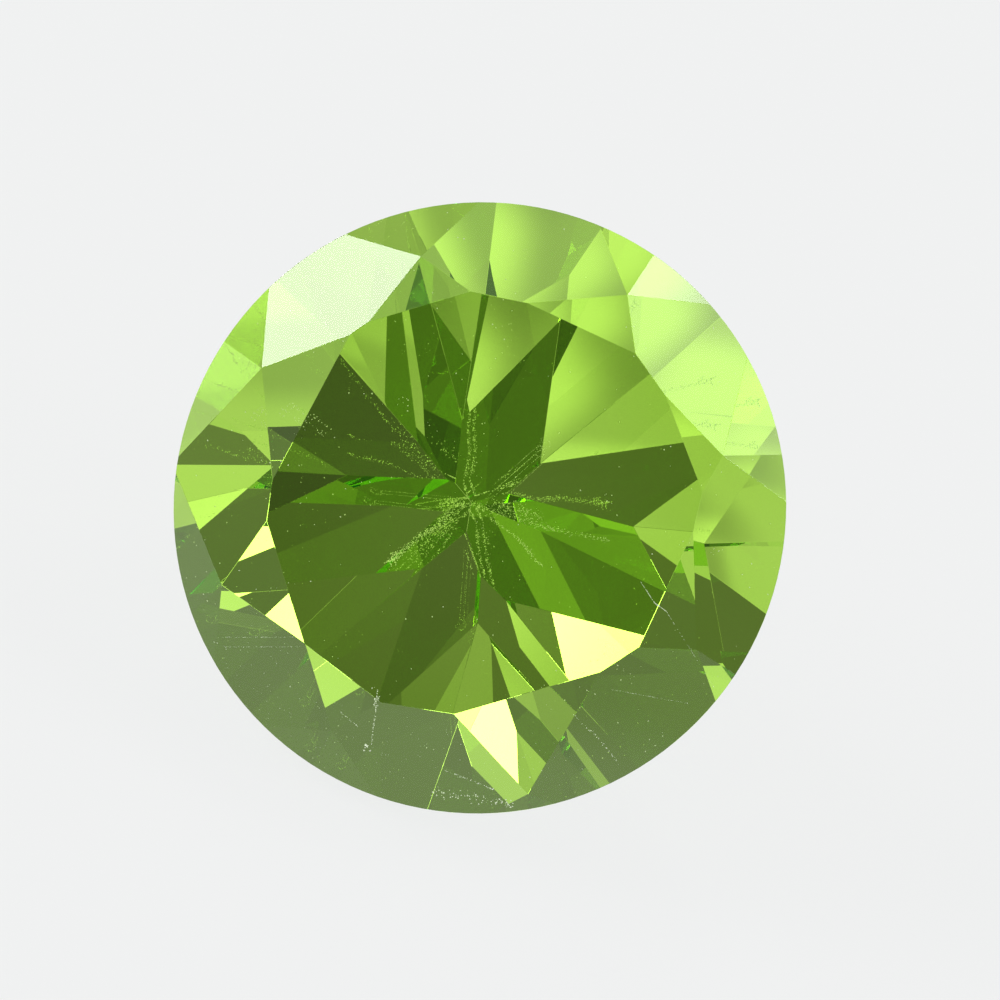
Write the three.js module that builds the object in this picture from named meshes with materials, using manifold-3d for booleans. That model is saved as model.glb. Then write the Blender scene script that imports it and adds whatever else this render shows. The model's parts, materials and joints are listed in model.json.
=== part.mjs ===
// A loose round cut peridot, lying on one main facet of its pavilion.
//
// Millimetres, +Z up. The stone is cut upright first: its axis is Z, the middle of its girdle is at Z = 0,
// its table faces +Z, and azimuths are degrees anticlockwise from +X for a viewer above the table. It is
// then laid down, so that the resting facet is flat on the surface and the table faces up and towards -Y.
import * as THREE from "three";
import { mergeVertices } from "three/addons/utils/BufferGeometryUtils.js";
import Module from "manifold-3d";

// Girdle: the widest part, a thin round band, a touch longer one way than the other.
const GIRDLE_RADIUS = 3.5;
const GIRDLE_LONG_AXIS = 37;
const GIRDLE_LONG_FACTOR = 1.004;
const GIRDLE_SHORT_FACTOR = 0.996;
const GIRDLE_SIDES = 128;
const GIRDLE_TOP = 0.14;
const GIRDLE_BOTTOM = -0.14;

// Crown: the part above the girdle.
const TABLE_HEIGHT = 0.86;

// Bezels, anticlockwise. Each faces its azimuth, slopes down from the table by its slope, and meets the table
// at its reach from the axis. The stone is hand cut, so no two are quite alike.
const BEZELS = [
  { azimuth: 35.5, slope: 35.5, reach: 2.47 },
  { azimuth: 78.5, slope: 35, reach: 2.4 },
  { azimuth: 125, slope: 36, reach: 2.47 },
  { azimuth: 172, slope: 33, reach: 2.39 },
  { azimuth: 217.5, slope: 37.5, reach: 2.53 },
  { azimuth: 261, slope: 34, reach: 2.37 },
  { azimuth: 302.5, slope: 35.5, reach: 2.32 },
  { azimuth: 346.5, slope: 37, reach: 2.43 },
];

// Stars, each between one bezel and the next. A star faces its azimuth and meets the table at its reach
// from the axis. Its outer tip lies on the line where the two bezels meet, tip away from the axis. Two
// upper halves run from that tip to the girdle, and meet each other there at azimuth meet.
const STARS = [
  { azimuth: 65, reach: 2.35, tip: 2.96, meet: 55.5 },
  { azimuth: 106.5, reach: 2.4, tip: 2.95, meet: 104 },
  { azimuth: 152, reach: 2.24, tip: 2.96, meet: 147 },
  { azimuth: 197, reach: 2.37, tip: 3.08, meet: 200 },
  { azimuth: 232.5, reach: 2.45, tip: 3.06, meet: 237 },
  { azimuth: 286, reach: 2.18, tip: 3.32, meet: 279 },
  { azimuth: 335, reach: 2.32, tip: 2.96, meet: 327 },
  { azimuth: 21, reach: 2.44, tip: 2.84, meet: 10 },
];

// Pavilion: the part below the girdle. Its main facets run up from the culet, the point at the bottom. Each
// faces its azimuth, rises by its slope, and meets the bottom of the girdle at its reach from the axis.
const MAINS = [
  { azimuth: 15, slope: 48, reach: 3.49 },
  { azimuth: 65, slope: 47, reach: 3.54 },
  { azimuth: 112, slope: 49, reach: 3.54 },
  { azimuth: 150, slope: 50, reach: 3.48 },
  { azimuth: 196, slope: 48, reach: 3.48 },
  { azimuth: 245.5, slope: 48.5, reach: 3.51 },
  { azimuth: 288.5, slope: 49, reach: 3.5 },
  { azimuth: 324, slope: 46, reach: 3.53 },
];
const RESTING_MAIN = 5;

// Lower halves, two between one main and the next. Both start on the line where the mains meet, this far
// from the axis, and they meet each other at the girdle at azimuth meet. Their lines with the mains aim at
// the girdle at azimuths before and after.
const LOWER_HALVES = [
  { start: 0.86, before: 15, meet: 38.5, after: 72 },
  { start: 1.03, before: 59.5, meet: 87, after: 104 },
  { start: 1.04, before: 107, meet: 132, after: 166 },
  { start: 1.57, before: 156, meet: 172, after: 189 },
  { start: 0.96, before: 196.5, meet: 222, after: 244.5 },
  { start: 1.32, before: 238, meet: 260, after: 296.5 },
  { start: 1.1, before: 286, meet: 301.5, after: 330 },
  { start: 1.77, before: 322.5, meet: 354, after: 376 },
];

const FULL_TURN = 360;
const CUTTER_SIZE = 20;
const BLANK_TOP = 3;
const BLANK_BOTTOM = -5;

const wasm = await Module();
wasm.setup();

function polar(radius, azimuth, height) {
  const turn = THREE.MathUtils.degToRad(azimuth);
  return new THREE.Vector3(radius * Math.cos(turn), radius * Math.sin(turn), height);
}

// The plane of a facet that faces an azimuth. A slope of 0 faces straight up and 180 straight down. At the
// given height the plane is reach away from the axis.
function slopedPlane(azimuth, slope, reach, height) {
  const tilt = THREE.MathUtils.degToRad(slope);
  const normal = polar(Math.sin(tilt), azimuth, Math.cos(tilt));
  return new THREE.Plane().setFromNormalAndCoplanarPoint(normal, polar(reach, azimuth, height));
}

// The plane through three points, facing away from the middle of the stone.
function planeThrough(a, b, c) {
  const plane = new THREE.Plane().setFromCoplanarPoints(a, b, c);
  return plane.constant > 0 ? plane.negate() : plane;
}

// The one point that three planes share.
function meetPoint(p, q, r) {
  const qr = new THREE.Vector3().crossVectors(q.normal, r.normal);
  const rp = new THREE.Vector3().crossVectors(r.normal, p.normal);
  const pq = new THREE.Vector3().crossVectors(p.normal, q.normal);
  const scale = -1 / p.normal.dot(qr);
  return qr.multiplyScalar(p.constant)
    .addScaledVector(rp, q.constant)
    .addScaledVector(pq, r.constant)
    .multiplyScalar(scale);
}

// The point of a plane that lies straight above or below the girdle's outside at an azimuth.
function girdlePoint(plane, azimuth) {
  const point = polar(GIRDLE_RADIUS, azimuth, 0);
  point.z = -plane.distanceToPoint(point) / plane.normal.z;
  return point;
}

// Where the line that two planes share leaves a cylinder round the axis, on its way up (1) or down (-1).
function lineLeavesCylinder(p, q, radius, way) {
  const line = new THREE.Vector3().crossVectors(p.normal, q.normal);
  line.multiplyScalar(way * Math.sign(line.z));
  const start = meetPoint(p, q, slopedPlane(0, 0, 0, 0));
  const a = line.x ** 2 + line.y ** 2;
  const b = start.x * line.x + start.y * line.y;
  const c = start.x ** 2 + start.y ** 2 - radius ** 2;
  return start.addScaledVector(line, (Math.sqrt(b * b - a * c) - b) / a);
}

// One end of the arc that a bezel cuts into the top of the girdle, on the side towards later (1) or earlier
// (-1) azimuths.
function bezelEnd(bezel, side) {
  const slope = THREE.MathUtils.degToRad(bezel.slope);
  const reach = bezel.reach + (TABLE_HEIGHT - GIRDLE_TOP) / Math.tan(slope);
  const halfArc = THREE.MathUtils.radToDeg(Math.acos(reach / GIRDLE_RADIUS));
  return polar(GIRDLE_RADIUS, bezel.azimuth + side * halfArc, GIRDLE_TOP);
}

function crownPlanes() {
  const table = slopedPlane(0, 0, 0, TABLE_HEIGHT);
  const bezels = BEZELS.map((b) => slopedPlane(b.azimuth, b.slope, b.reach, TABLE_HEIGHT));
  const planes = [table, ...bezels];
  STARS.forEach((star, i) => {
    const next = (i + 1) % BEZELS.length;
    const tip = lineLeavesCylinder(bezels[i], bezels[next], star.tip, -1);
    const inner = polar(star.reach, star.azimuth, TABLE_HEIGHT);
    const along = polar(1, star.azimuth + FULL_TURN / 4, 0);
    const meet = polar(GIRDLE_RADIUS, star.meet, GIRDLE_TOP);
    planes.push(
      planeThrough(inner, inner.clone().add(along), tip),
      planeThrough(tip, meet, bezelEnd(BEZELS[i], 1)),
      planeThrough(tip, meet, bezelEnd(BEZELS[next], -1)),
    );
  });
  return planes;
}

function pavilionPlanes() {
  const mains = MAINS.map((m) => slopedPlane(m.azimuth, FULL_TURN / 2 - m.slope, m.reach, GIRDLE_BOTTOM));
  const halves = LOWER_HALVES.flatMap((half, i) => {
    const before = mains[i];
    const after = mains[(i + 1) % mains.length];
    const inner = lineLeavesCylinder(before, after, half.start, 1);
    const meet = polar(GIRDLE_RADIUS, half.meet, GIRDLE_BOTTOM);
    return [
      planeThrough(inner, meet, girdlePoint(before, half.before)),
      planeThrough(inner, meet, girdlePoint(after, half.after)),
    ];
  });
  return { mains, halves };
}

// A closed geometry as a solid that can be cut.
function solidOf(geometry) {
  geometry.deleteAttribute("normal");
  geometry.deleteAttribute("uv");
  const merged = mergeVertices(geometry);
  return new wasm.Manifold(new wasm.Mesh({
    numProp: 3,
    vertProperties: new Float32Array(merged.attributes.position.array),
    triVerts: new Uint32Array(merged.index.array),
  }));
}

function geometryOf(solid) {
  const mesh = solid.getMesh();
  const geometry = new THREE.BufferGeometry();
  geometry.setAttribute("position", new THREE.BufferAttribute(mesh.vertProperties, mesh.numProp));
  geometry.setIndex(new THREE.BufferAttribute(mesh.triVerts, 1));
  geometry.computeVertexNormals();
  return geometry;
}

// The rough preform: a round bar as wide as the girdle, along Z.
function preform() {
  const profile = [
    new THREE.Vector2(0, BLANK_BOTTOM),
    new THREE.Vector2(GIRDLE_RADIUS, BLANK_BOTTOM),
    new THREE.Vector2(GIRDLE_RADIUS, BLANK_TOP),
    new THREE.Vector2(0, BLANK_TOP),
  ];
  const longAxis = THREE.MathUtils.degToRad(GIRDLE_LONG_AXIS);
  const bar = new THREE.LatheGeometry(profile, GIRDLE_SIDES);
  bar.rotateX(Math.PI / 2);
  bar.scale(GIRDLE_LONG_FACTOR, GIRDLE_SHORT_FACTOR, 1);
  bar.rotateZ(longAxis);
  return solidOf(bar);
}

// Everything on the outer side of a plane, as far as the cutter reaches.
function outsideOf(plane) {
  const cutter = new THREE.BoxGeometry(CUTTER_SIZE, CUTTER_SIZE, CUTTER_SIZE);
  const face = plane.normal.clone().multiplyScalar(-plane.constant);
  const turn = new THREE.Quaternion().setFromUnitVectors(new THREE.Vector3(0, 0, 1), plane.normal);
  cutter.translate(0, 0, CUTTER_SIZE / 2);
  cutter.applyQuaternion(turn);
  cutter.translate(face.x, face.y, face.z);
  return solidOf(cutter);
}

function cutStone(planes) {
  return geometryOf(planes.reduce((stone, plane) => stone.subtract(outsideOf(plane)), preform()));
}

// Turns the stone so that the resting facet faces straight down and the table leans towards -Y.
function restingTurn(restingPlane) {
  const down = new THREE.Vector3(0, 0, -1);
  const up = new THREE.Vector3(0, 0, 1);
  const lay = new THREE.Quaternion().setFromUnitVectors(restingPlane.normal, down);
  const table = up.clone().applyQuaternion(lay);
  const heading = Math.atan2(table.y, table.x);
  const swing = new THREE.Quaternion().setFromAxisAngle(up, -Math.PI / 2 - heading);
  return swing.multiply(lay);
}

const pavilion = pavilionPlanes();
const geometry = cutStone([...crownPlanes(), ...pavilion.mains, ...pavilion.halves]);
const peridotGreen = new THREE.MeshStandardMaterial({ color: 0x7fae24, roughness: 0.05, metalness: 0 });

const peridot = new THREE.Mesh(geometry, peridotGreen);
peridot.name = "peridot";
peridot.quaternion.copy(restingTurn(pavilion.mains[RESTING_MAIN]));
peridot.updateMatrixWorld(true);

// The origin is under the middle of the stone's box, on the surface that it rests on.
const box = new THREE.Box3().setFromObject(peridot, true);
const middle = box.getCenter(new THREE.Vector3());
peridot.position.set(-middle.x, -middle.y, -box.min.z);

const stone = new THREE.Group();
stone.add(peridot);

export default stone;
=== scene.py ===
"""A loose round cut peridot on a plain pale floor, seen straight on to its table.

The file is laid out as an add-on and run as a script. The frame gives the stone's place and size, in metres.
Inside the file, places on the stone are given in its own frame: millimetres from its axis, azimuths in
degrees anticlockwise from the right of the photo, and polar angles in degrees from the way the table faces.
"""
import json
import math
import random

import bmesh
import bpy
from mathutils import Matrix, Vector
from mathutils.bvhtree import BVHTree


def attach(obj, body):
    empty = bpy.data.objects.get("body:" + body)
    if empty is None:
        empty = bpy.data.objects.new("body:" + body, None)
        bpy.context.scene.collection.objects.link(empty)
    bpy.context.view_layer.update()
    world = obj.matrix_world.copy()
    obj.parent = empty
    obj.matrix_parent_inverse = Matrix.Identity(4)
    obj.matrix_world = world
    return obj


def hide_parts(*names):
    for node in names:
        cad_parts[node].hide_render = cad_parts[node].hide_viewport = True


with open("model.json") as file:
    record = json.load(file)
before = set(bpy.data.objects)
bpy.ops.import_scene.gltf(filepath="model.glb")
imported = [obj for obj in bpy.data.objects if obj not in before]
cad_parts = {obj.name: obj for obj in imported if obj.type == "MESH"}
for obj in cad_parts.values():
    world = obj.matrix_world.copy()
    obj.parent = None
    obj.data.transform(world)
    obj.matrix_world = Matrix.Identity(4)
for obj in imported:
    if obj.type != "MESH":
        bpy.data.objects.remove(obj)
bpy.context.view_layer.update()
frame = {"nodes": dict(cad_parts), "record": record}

bl_info = {
    "name": "Round Cut Peridot",
    "version": (1, 0, 0),
    "blender": (4, 5, 0),
    "location": "View3D > Sidebar > Peridot",
    "description": "Builds a loose round cut peridot with its inclusions and wear, and its stage",
    "category": "Object",
}

NODE = "peridot"
BODY = "root"
MM = 0.001

# The stone's own frame. The table stands this far above the middle of the girdle, and the photo is turned by
# this much from the way that the stone lies.
TABLE_HEIGHT = 0.86 * MM
PHOTO_ROLL = math.radians(-24.5)

# Camera: how far it is, how wide the photo is at the stone, and where its middle lies across the stone.
CAMERA_DISTANCE = 500 * MM
PHOTO_WIDTH = 11.44 * MM
PHOTO_MIDDLE = (0.23 * MM, 0.09 * MM)
SENSOR_WIDTH = 36.0
CLIP_START = MM
CLIP_END = 2.0
LIGHT_BOUNCES = 24


def mount(name):
    """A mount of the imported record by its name."""
    return next(m for m in frame["record"]["mounts"] if m["name"] == name)


def stone_frame():
    """The stone's own frame: its axis leaves the table, and azimuth 0 points to the right of the photo.

    The middle of the girdle is found from the node's box across the axis, and its height from the table.
    """
    axis = Vector(mount("table")["axis"]).normalized()
    level = Vector((1.0, 0.0, 0.0))
    climb = axis.cross(level)
    right = level * math.cos(PHOTO_ROLL) - climb * math.sin(PHOTO_ROLL)
    up = axis.cross(right)
    points = [v.co for v in frame["nodes"][NODE].data.vertices]
    middle = Vector((0.0, 0.0, 0.0))
    for way in (right, up):
        reach = [p.dot(way) for p in points]
        middle += way * (min(reach) + max(reach)) / 2
    middle += axis * (Vector(mount("table")["pos_m"]).dot(axis) - TABLE_HEIGHT)
    turn = Matrix((right, up, axis)).transposed().to_4x4()
    return Matrix.Translation(middle) @ turn


STONE = stone_frame()


def direction(polar, azimuth):
    """A world direction from a polar angle and an azimuth of the stone's frame, in degrees."""
    tilt = math.radians(polar)
    turn = math.radians(azimuth)
    local = Vector((math.sin(tilt) * math.cos(turn), math.sin(tilt) * math.sin(turn), math.cos(tilt)))
    return STONE.to_3x3() @ local


def camera_place():
    return STONE @ Vector((*PHOTO_MIDDLE, CAMERA_DISTANCE))


class Value:
    """A socket of a node tree. Arithmetic on it adds Math nodes, and dot a Vector Math node."""

    def __init__(self, tree, socket):
        self.tree = tree
        self.socket = socket

    def node(self, kind, settings=None, inputs=None, output=0):
        """Adds any node: its settings are set first, then its inputs are given values or links."""
        made = self.tree.nodes.new(kind)
        for name, value in (settings or {}).items():
            setattr(made, name, value)
        for name, value in (inputs or {}).items():
            if isinstance(value, Value):
                self.tree.links.new(value.socket, made.inputs[name])
            else:
                made.inputs[name].default_value = value
        return Value(self.tree, made.outputs[output]) if made.outputs else None

    def math(self, operation, *values):
        return self.node("ShaderNodeMath", {"operation": operation}, dict(enumerate(values)))

    def __add__(self, other):
        return self.math("ADD", self, other)

    def __radd__(self, other):
        return self.math("ADD", other, self)

    def __sub__(self, other):
        return self.math("SUBTRACT", self, other)

    def __rsub__(self, other):
        return self.math("SUBTRACT", other, self)

    def __mul__(self, other):
        return self.math("MULTIPLY", self, other)

    def __rmul__(self, other):
        return self.math("MULTIPLY", other, self)

    def __truediv__(self, other):
        return self.math("DIVIDE", self, other)

    def dot(self, way):
        return self.node("ShaderNodeVectorMath", {"operation": "DOT_PRODUCT"}, {0: self, 1: way}, "Value")

    def ramp(self, low, high):
        """0 below low, 1 above high, smooth between."""
        return self.node(
            "ShaderNodeMapRange",
            {"interpolation_type": "SMOOTHERSTEP"},
            {"Value": self, "From Min": low, "From Max": high},
        )


def empty_tree(owner):
    """Clears the node tree of a material or a world, and gives a starting value for its expressions."""
    owner.use_nodes = True
    owner.node_tree.nodes.clear()
    return Value(owner.node_tree, None)


def new_object(name, work):
    """Makes a mesh object in the scene from a bmesh, and frees the bmesh."""
    mesh = bpy.data.meshes.new(name)
    work.to_mesh(mesh)
    work.free()
    made = bpy.data.objects.new(name, mesh)
    bpy.context.scene.collection.objects.link(made)
    return made


class CrystalSettings(bpy.types.PropertyGroup):
    """The crystal's optical values and its wear"""

    refraction: bpy.props.FloatProperty(
        name="Refractive Index",
        description="Middle of the two refractive indices of peridot",
        default=1.67,
        min=1.0,
        max=2.5,
    )
    tint: bpy.props.FloatVectorProperty(
        name="Tint",
        description="Colour that the crystal lets through",
        subtype="COLOR",
        size=4,
        default=(0.69, 0.89, 0.09, 1.0),
        min=0.0,
        max=1.0,
    )
    density: bpy.props.FloatProperty(
        name="Colour Density",
        description="How fast the tint deepens, per metre of crystal",
        default=460.0,
        min=0.0,
    )
    wear: bpy.props.FloatProperty(
        name="Edge Wear",
        description="Width that is worn off each facet edge",
        default=0.012 * MM,
        min=0.0,
        subtype="DISTANCE",
        unit="LENGTH",
    )


# Edges sharper than this are worn. Before that, points this close are joined, edges shorter than this are
# closed, and facets flatter than this to each other become one.
SHARP_EDGE = math.radians(4.0)
SAME_POINT = 0.0001 * MM
SHORT_EDGE = 0.005 * MM
SAME_PLANE = math.radians(0.2)
WEAR_SEGMENTS = 2
ROUND_PROFILE = 0.5


def crystal_material(settings):
    material = bpy.data.materials.new("polished crystal")
    tree = empty_tree(material)
    shader = tree.node("ShaderNodeBsdfPrincipled", None, {
        "Base Color": (1.0, 1.0, 1.0, 1.0),
        "Roughness": 0.0,
        "IOR": settings.refraction,
        "Transmission Weight": 1.0,
    })
    body = tree.node("ShaderNodeVolumeAbsorption", None, {
        "Color": settings.tint,
        "Density": settings.density,
    })
    tree.node("ShaderNodeOutputMaterial", None, {"Surface": shader, "Volume": body})
    return material


def worn_stone(wear):
    """The cut stone with its facet edges worn slightly round."""
    work = bmesh.new()
    work.from_mesh(frame["nodes"][NODE].data)
    bmesh.ops.remove_doubles(work, verts=work.verts, dist=SAME_POINT)
    bmesh.ops.dissolve_degenerate(work, dist=SHORT_EDGE, edges=work.edges)
    bmesh.ops.dissolve_limit(work, angle_limit=SAME_PLANE, verts=work.verts, edges=work.edges)
    sharp = [e for e in work.edges if e.calc_face_angle(0.0) > SHARP_EDGE]
    bmesh.ops.bevel(
        work,
        geom=sharp,
        offset=wear,
        offset_type="OFFSET",
        segments=WEAR_SEGMENTS,
        profile=ROUND_PROFILE,
        affect="EDGES",
        clamp_overlap=True,
    )
    for face in work.faces:
        face.smooth = False
    return new_object("stone", work)


class PERIDOT_OT_stone(bpy.types.Operator):
    """Build the cut stone"""

    bl_idname = "peridot.stone"
    bl_label = "Stone"

    def execute(self, context):
        settings = context.scene.peridot_crystal
        stone = worn_stone(settings.wear)
        if not stone.data.polygons:
            raise RuntimeError("the stone has lost its facets")
        stone.data.materials.append(crystal_material(settings))
        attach(stone, BODY)
        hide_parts(NODE)
        return {"FINISHED"}


# Marks inside the stone and on it, as they show from the camera. Each is a row of points in millimetres
# across the stone, how deep it lies on the way from the crown (0) to the pavilion (1), how many crumbs it is
# made of, how far they stray, and how large they are.
MARKS = (
    # Streaks and specks deep in the stone, from the culet outwards. The first is the brightest, and the
    # second is the clump at its end.
    (((0.02, 0.03), (-0.24, 0.05), (-0.44, -0.19), (-0.66, -0.32), (-0.98, -0.59)), 0.985, 230, 0.016, 0.007),
    (((-0.9, -0.5), (-1.01, -0.62)), 0.985, 45, 0.03, 0.008),
    (((0.0, 0.25), (0.03, 1.08)), 0.7, 9, 0.03, 0.006),
    (((0.0, -0.14), (-0.01, -0.66)), 0.97, 24, 0.025, 0.006),
    (((0.06, 0.0), (0.8, -0.23), (1.48, -0.37)), 0.985, 110, 0.012, 0.006),
    (((0.1, 0.04), (0.36, 0.02), (0.68, -0.12)), 0.985, 110, 0.045, 0.007),
    (((0.06, -0.06), (0.43, -0.35), (0.67, -0.64)), 0.985, 80, 0.012, 0.006),
    # Two fine lines side by side, and the small ring at their end.
    (((0.09, 0.13), (0.67, 0.65)), 0.97, 90, 0.002, 0.0035),
    (((0.13, 0.1), (0.7, 0.61)), 0.97, 90, 0.002, 0.0035),
    (((0.66, 0.7), (0.74, 0.66), (0.72, 0.58), (0.64, 0.6), (0.66, 0.7)), 0.97, 40, 0.004, 0.004),
    # Scratches on the crown at the lower right.
    (((1.84, -0.85), (2.0, -1.09), (2.13, -1.18), (2.69, -2.07)), 0.05, 160, 0.002, 0.004),
    (((1.51, -2.08), (2.4, -2.24)), 0.05, 90, 0.002, 0.003),
    (((1.03, -2.33), (1.35, -2.63), (1.62, -2.97)), 0.1, 40, 0.008, 0.006),
    # Scratches and a pit on the crown below the table.
    (((-1.17, -2.08), (-1.24, -2.71)), 0.1, 60, 0.004, 0.006),
    (((-1.34, -2.72), (-1.28, -2.76)), 0.1, 10, 0.02, 0.012),
    (((-1.6, -2.33), (-1.4, -2.5)), 0.1, 22, 0.003, 0.005),
    (((-0.4, -3.0), (0.17, -3.23)), 0.1, 50, 0.006, 0.006),
    # Two polishing lines at the left, and the fine crack in the upper left bezel.
    (((-3.0, -1.48), (-2.06, -1.48)), 0.03, 90, 0.002, 0.003),
    (((-2.95, -1.59), (-2.06, -1.59)), 0.03, 90, 0.002, 0.003),
    (((-1.83, 2.26), (-1.68, 1.92)), 0.05, 24, 0.002, 0.004),
    # Small loose clumps.
    (((-2.1, 1.02), (-1.72, 0.92)), 0.98, 16, 0.04, 0.008),
    (((-0.92, 1.2), (-0.86, 1.2)), 0.5, 8, 0.05, 0.008),
    (((1.43, 0.12), (1.43, 0.0)), 0.5, 7, 0.05, 0.007),
    (((2.65, -0.46), (2.72, -0.5)), 0.5, 7, 0.05, 0.007),
    (((1.6, -1.85), (1.7, -1.95)), 0.5, 8, 0.05, 0.007),
    # Chips along the lower edge, and fine specks on the lower bezels.
    (((-0.55, -3.25), (0.35, -3.38)), 0.5, 70, 0.03, 0.009),
    (((-2.9, -1.5), (-2.2, -2.4), (-1.4, -2.9)), 0.02, 110, 0.25, 0.0035),
    (((-1.2, -2.75), (1.1, -2.9)), 0.02, 90, 0.2, 0.0035),
)
# Dust is spread all over the stone. The spreads are factors of a crumb's size and of its corners.
DUST_COUNT = 170
DUST_SIZE = 0.006
DUST_REACH = 3.4
DUST_DEPTHS = (0.1, 0.9)
DUST_SPREAD = (0.4, 1.5)
CRUMB_SPREAD = (0.4, 1.2)
CRUMB_ROUGHNESS = (0.4, 1.4)
LUCK_SEED = 7
JUST_INSIDE = 0.001 * MM


def behind(tree, refraction, x, y, depth):
    """The place that shows at x, y across the stone, a part of the way along the line of sight inside it."""
    eye = camera_place()
    sight = (STONE @ Vector((x * MM, y * MM, 0.0)) - eye).normalized()
    entry, normal, _, _ = tree.ray_cast(eye, sight)
    if entry is None:
        return None
    facing = -sight.dot(normal)
    inner = math.sqrt(1.0 - (1.0 - facing * facing) / refraction**2)
    sight = sight / refraction + normal * (facing / refraction - inner)
    start = entry + sight * JUST_INSIDE
    end, _, _, length = tree.ray_cast(start, sight)
    if end is None:
        return None
    return start + sight * length * depth


def along(points, part):
    """The point a part of the way along a row of points."""
    place = part * (len(points) - 1)
    first = min(int(place), len(points) - 2)
    return Vector(points[first]).lerp(Vector(points[first + 1]), place - first)


def add_crumb(work, place, size, luck):
    """A tiny angular crystal."""
    made = bmesh.ops.create_icosphere(work, subdivisions=1, radius=size)
    for vert in made["verts"]:
        vert.co *= luck.uniform(*CRUMB_ROUGHNESS)
        vert.co += place


def crumbs(stone, refraction):
    """All the crumbs of the marks and the dust, as one mesh inside the stone."""
    luck = random.Random(LUCK_SEED)
    tree = BVHTree.FromObject(stone, bpy.context.evaluated_depsgraph_get())
    work = bmesh.new()
    for points, depth, count, stray, size in MARKS:
        for _ in range(count):
            x, y = along(points, luck.random())
            x += luck.gauss(0.0, stray)
            y += luck.gauss(0.0, stray)
            place = behind(tree, refraction, x, y, depth)
            if place is not None:
                add_crumb(work, place, size * luck.uniform(*CRUMB_SPREAD) * MM, luck)
    for _ in range(DUST_COUNT):
        reach = DUST_REACH * math.sqrt(luck.random())
        turn = luck.uniform(0.0, 2 * math.pi)
        depth = luck.uniform(*DUST_DEPTHS)
        place = behind(tree, refraction, reach * math.cos(turn), reach * math.sin(turn), depth)
        if place is not None:
            add_crumb(work, place, DUST_SIZE * luck.uniform(*DUST_SPREAD) * MM, luck)
    return new_object("inclusions", work)


# The crumbs' pale base colour is their own. Their faint glow is a painted glint, standing in for the light
# they catch.
def crumb_material_with_painted_glint():
    material = bpy.data.materials.new("inclusion")
    tree = empty_tree(material)
    shader = tree.node("ShaderNodeBsdfPrincipled", None, {
        "Base Color": (0.9, 0.95, 0.85, 1.0),
        "Roughness": 0.5,
        # painted glint: a faint glow of the crumbs' own, though they are no lamps
        "Emission Color": (0.95, 1.0, 0.9, 1.0),
        "Emission Strength": 0.45,
    })
    tree.node("ShaderNodeOutputMaterial", None, {"Surface": shader})
    return material


class PERIDOT_OT_inclusions(bpy.types.Operator):
    """Build the inclusions and the marks of wear in the stone"""

    bl_idname = "peridot.inclusions"
    bl_label = "Inclusions and Wear"

    def execute(self, context):
        stone = context.scene.objects["stone"]
        made = crumbs(stone, context.scene.peridot_crystal.refraction)
        if not made.data.polygons:
            raise RuntimeError("no inclusion lies inside the stone")
        # the crumbs' material adds a faint painted glow for their glints
        made.data.materials.append(crumb_material_with_painted_glint())
        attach(made, BODY)
        return {"FINISHED"}


class StageSettings(bpy.types.PropertyGroup):
    """The light and the floor"""

    sky: bpy.props.FloatProperty(
        name="Room Light",
        description="Brightness of the room around the stone",
        default=0.28,
        min=0.0,
    )
    floor: bpy.props.FloatProperty(
        name="Floor Light",
        description="Brightness of the pale floor",
        default=0.83,
        min=0.0,
    )


# Lamps and dark screens round the stone, each a soft disc: polar angle, azimuth and half width in degrees,
# and brightness. A bezel mirrors a lamp to the camera that stands at about twice the bezel's slope from the
# axis. The other lamps show through the stone, each where one of the photo's flashes asks for it.
LAMPS = (
    (72, 126, 10, 10.0),  # white in the upper left bezel, and the large flash below the middle
    (64, 146, 9, 9.0),  # right end of the large flash
    (102, 90, 4, 9.0),  # flash at the bottom
    (90, 80, 6, 8.0),  # its upper corner
    (86, 36, 6, 8.0),  # flash at the lower left
    (91, 46, 4, 1.2),  # yellow-green facet below it
    (76, 6, 9, 7.0),  # flash at the left edge of the table
    (82, 48, 4.5, 7.0),  # white corner of the upper right bezel
    (71, 36, 3, 2.2),  # pale gloss on the upper right bezel
    (36, 226, 5, 3.0),  # green facets round the middle
    (90, 16, 7, 2.0),  # small light facets at the left edge
    (94, 348, 11, 1.0),  # light green at the left edge
    (97, 108, 7, 0.8),  # green round the flash at the bottom
    (70, 85, 10, 0.5),  # gloss on the top bezel
    (40, 125, 25, 0.25),  # wide dim light from the far side
    (20, -5, 5, 0.4),  # green stripe right of the middle
    (45, 267, 50, 0.08),  # faint light from the near side
)
SCREENS = (
    (0, 0, 8, -0.28),  # the camera
    # Dark parts of the room.
    (28, 240, 14, -0.2),
    (29, 25, 7, -0.25),
    (70, 330, 28, -0.15),
    (105, 220, 45, -0.28),
)
LAMP_EDGE = 2.0

FLOOR_RADIUS = 0.45
FLOOR_GAP = 0.002 * MM
FLOOR_SIDES = 96
FLOOR_COLOUR = (0.99, 1.0, 1.0)

# Painted shade on the floor where the stone's own shade would fall, mostly hidden behind the stone. The floor
# gives its own light, so the shade is painted into that light, patchy as light through the stone would make
# it:
# place across the stone and half width in millimetres, and the share of light lost, below 0 for a painted
# pool of light where the stone would gather light.
SHADES = (
    (-1.2, 1.2, 1.5, 0.4),
    (0.8, -1.6, 1.4, 0.25),
    (-1.1, -2.1, 0.8, 0.4),
    (-1.1, -0.8, 0.7, -0.6),
)
SHADE_EDGE = 0.4
# The floor's light is painted to fade far in front of the stone and to brighten far behind it, nearer to the
# lamps.
FAR_EDGE = (8.0, 15.0)
FAR_LOSS = 0.1
FAR_SLOPE = 0.5


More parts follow.
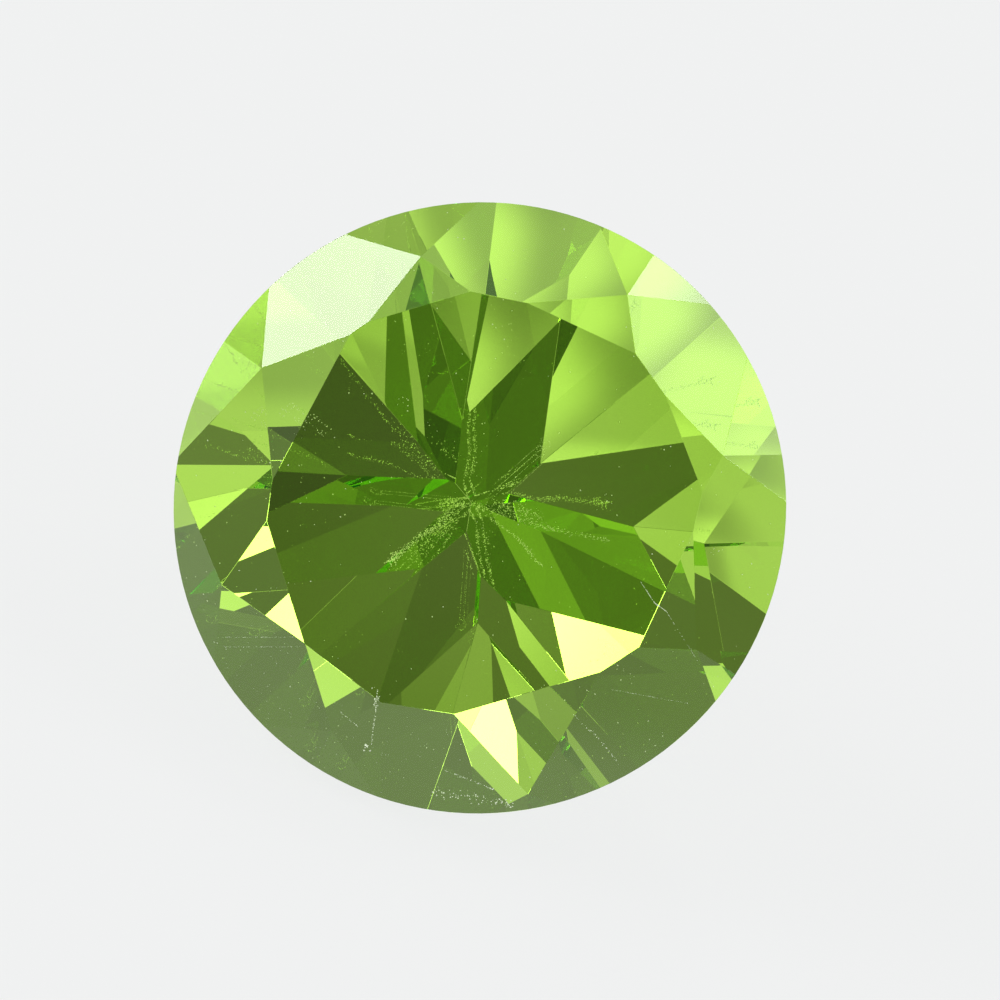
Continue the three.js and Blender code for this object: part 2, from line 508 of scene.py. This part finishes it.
def studio_world(settings):
    world = bpy.data.worlds.new("studio")
    bpy.context.scene.world = world
    tree = empty_tree(world)
    way = tree.node("ShaderNodeTexCoord", None, None, "Generated")
    light = settings.sky
    for polar, azimuth, half_width, power in LAMPS + SCREENS:
        outer, inner = (math.cos(math.radians(half_width + step)) for step in (LAMP_EDGE, -LAMP_EDGE))
        light = light + way.dot(direction(polar, azimuth)).ramp(outer, inner) * power
    background = tree.node("ShaderNodeBackground", None, {"Strength": tree.math("MAXIMUM", light, 0.0)})
    tree.node("ShaderNodeOutputWorld", None, {"Surface": background})


def floor_light(tree):
    """Painted shade and light on the floor: how bright each place is, beside its plain brightness."""
    place = tree.node("ShaderNodeNewGeometry", None, None, "Position")
    right, up, _ = STONE.to_3x3().transposed()
    x = (place.dot(right) - STONE.translation.dot(right)) * (1 / MM)
    y = (place.dot(up) - STONE.translation.dot(up)) * (1 / MM)

    def reach_from(start_x, start_y):
        across = x - start_x
        along = y - start_y
        return tree.math("SQRT", across * across + along * along)

    light = 1.0
    # painted shade, and a painted pool of light, as soft discs in the floor's own light
    for shade_x, shade_y, half_width, share in SHADES:
        outside = reach_from(shade_x, shade_y).ramp(half_width - SHADE_EDGE, half_width + SHADE_EDGE)
        light = light * (1.0 - share * (1.0 - outside))
    # painted fading and brightening of the floor far from the stone
    reach = reach_from(0.0, 0.0)
    loss = FAR_LOSS - FAR_SLOPE * y / tree.math("MAXIMUM", reach, 1.0)
    return light * (1.0 - reach.ramp(*FAR_EDGE) * loss)


def pale_floor(settings):
    work = bmesh.new()
    bmesh.ops.create_circle(work, cap_ends=True, radius=FLOOR_RADIUS, segments=FLOOR_SIDES)
    made = new_object("floor", work)
    made.location.z = -FLOOR_GAP
    material = bpy.data.materials.new("pale floor")
    tree = empty_tree(material)
    light = floor_light(tree)
    # The floor's emission colour carries its painted shade and painted light.
    colour = tree.node("ShaderNodeVectorMath", {"operation": "SCALE"}, {0: FLOOR_COLOUR, "Scale": light})
    shader = tree.node("ShaderNodeBsdfPrincipled", None, {
        "Base Color": (0.05, 0.05, 0.05, 1.0),
        "Roughness": 1.0,
        "Emission Color": colour,
        "Emission Strength": settings.floor,
    })
    tree.node("ShaderNodeOutputMaterial", None, {"Surface": shader})
    made.data.materials.append(material)


def photo_camera():
    data = bpy.data.cameras.new("camera")
    data.sensor_width = SENSOR_WIDTH
    data.lens = SENSOR_WIDTH * CAMERA_DISTANCE / PHOTO_WIDTH
    data.clip_start = CLIP_START
    data.clip_end = CLIP_END
    made = bpy.data.objects.new("camera", data)
    made.matrix_world = STONE @ Matrix.Translation((*PHOTO_MIDDLE, CAMERA_DISTANCE))
    bpy.context.scene.collection.objects.link(made)
    bpy.context.scene.camera = made


class PERIDOT_OT_stage(bpy.types.Operator):
    """Build the floor, the light and the camera"""

    bl_idname = "peridot.stage"
    bl_label = "Stage"

    def execute(self, context):
        scene = context.scene
        pale_floor(scene.peridot_stage)
        studio_world(scene.peridot_stage)
        photo_camera()
        scene.view_settings.view_transform = "Standard"
        scene.cycles.max_bounces = LIGHT_BOUNCES
        scene.cycles.glossy_bounces = LIGHT_BOUNCES
        scene.cycles.transmission_bounces = LIGHT_BOUNCES
        if scene.camera is None:
            raise RuntimeError("the stage has no camera")
        return {"FINISHED"}


class PERIDOT_PT_panel(bpy.types.Panel):
    """Settings and build steps of the peridot"""

    bl_idname = "PERIDOT_PT_panel"
    bl_label = "Peridot"
    bl_space_type = "VIEW_3D"
    bl_region_type = "UI"
    bl_category = "Peridot"

    def draw(self, context):
        for settings in (context.scene.peridot_crystal, context.scene.peridot_stage):
            column = self.layout.column()
            for name in settings.__annotations__:
                column.prop(settings, name)
        for step in OPERATORS:
            self.layout.operator(step.bl_idname)


OPERATORS = (PERIDOT_OT_stone, PERIDOT_OT_inclusions, PERIDOT_OT_stage)
CLASSES = (CrystalSettings, StageSettings, *OPERATORS, PERIDOT_PT_panel)


def register():
    for each in CLASSES:
        bpy.utils.register_class(each)
    bpy.types.Scene.peridot_crystal = bpy.props.PointerProperty(type=CrystalSettings)
    bpy.types.Scene.peridot_stage = bpy.props.PointerProperty(type=StageSettings)


def unregister():
    del bpy.types.Scene.peridot_stage
    del bpy.types.Scene.peridot_crystal
    for each in reversed(CLASSES):
        bpy.utils.unregister_class(each)


def main():
    register()
    bpy.ops.peridot.stone()
    bpy.ops.peridot.inclusions()
    bpy.ops.peridot.stage()
    bpy.context.view_layer.update()


if __name__ == "__main__":
    main()
